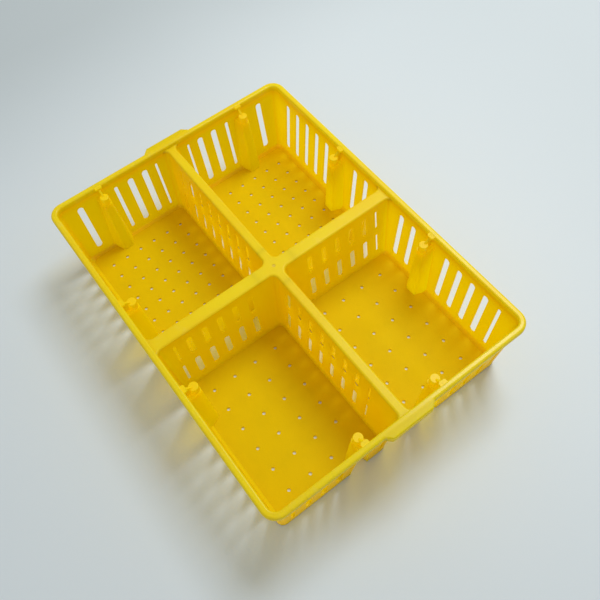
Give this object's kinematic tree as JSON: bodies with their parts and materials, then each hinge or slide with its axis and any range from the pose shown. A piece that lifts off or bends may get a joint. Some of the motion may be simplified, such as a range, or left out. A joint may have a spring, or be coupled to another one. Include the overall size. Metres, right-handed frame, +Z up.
{
  "type": "chick crate",
  "caption": "Open moulded plastic crate with slotted walls, crossed hollow dividers, drained floors and stacking pegs, for carrying and rearing young chicks.",
  "frame": {"origin": "centre of the crate on the surface that its floors stand on", "axes": "+X along the crate towards its front end, +Y across it to the right side, +Z up"},
  "size_m": [0.6416, 0.461, 0.144],
  "materials": {
    "yellow_plastic": "satin"
  },
  "bodies": {
    "root": {"cap_front": "yellow_plastic", "cap_hub": "yellow_plastic", "cap_left": "yellow_plastic", "cap_rear": "yellow_plastic", "cap_right": "yellow_plastic", "cross_divider_front_left": "yellow_plastic", "cross_divider_front_right": "yellow_plastic", "cross_divider_rear_left": "yellow_plastic", "cross_divider_rear_right": "yellow_plastic", "end_peg_front_left": "yellow_plastic", "end_peg_front_right": "yellow_plastic", "end_peg_rear_left": "yellow_plastic", "end_peg_rear_right": "yellow_plastic", "end_post_front_left": "yellow_plastic", "end_post_front_right": "yellow_plastic", "end_post_rear_left": "yellow_plastic", "end_post_rear_right": "yellow_plastic", "end_wall_front_left": "yellow_plastic", "end_wall_front_right": "yellow_plastic", "end_wall_rear_left": "yellow_plastic", "end_wall_rear_right": "yellow_plastic", "floor_front_left": "yellow_plastic", "floor_front_right": "yellow_plastic", "floor_rear_left": "yellow_plastic", "floor_rear_right": "yellow_plastic", "handle_front": "yellow_plastic", "handle_rear": "yellow_plastic", "long_divider_front_left": "yellow_plastic", "long_divider_front_right": "yellow_plastic", "long_divider_rear_left": "yellow_plastic", "long_divider_rear_right": "yellow_plastic", "rim_front": "yellow_plastic", "rim_left": "yellow_plastic", "rim_rear": "yellow_plastic", "rim_right": "yellow_plastic", "side_peg_front_left": "yellow_plastic", "side_peg_front_right": "yellow_plastic", "side_peg_rear_left": "yellow_plastic", "side_peg_rear_right": "yellow_plastic", "side_post_front_left": "yellow_plastic", "side_post_front_right": "yellow_plastic", "side_post_rear_left": "yellow_plastic", "side_post_rear_right": "yellow_plastic", "side_wall_front_left": "yellow_plastic", "side_wall_front_right": "yellow_plastic", "side_wall_rear_left": "yellow_plastic", "side_wall_rear_right": "yellow_plastic"}
  },
  "joints": []
}
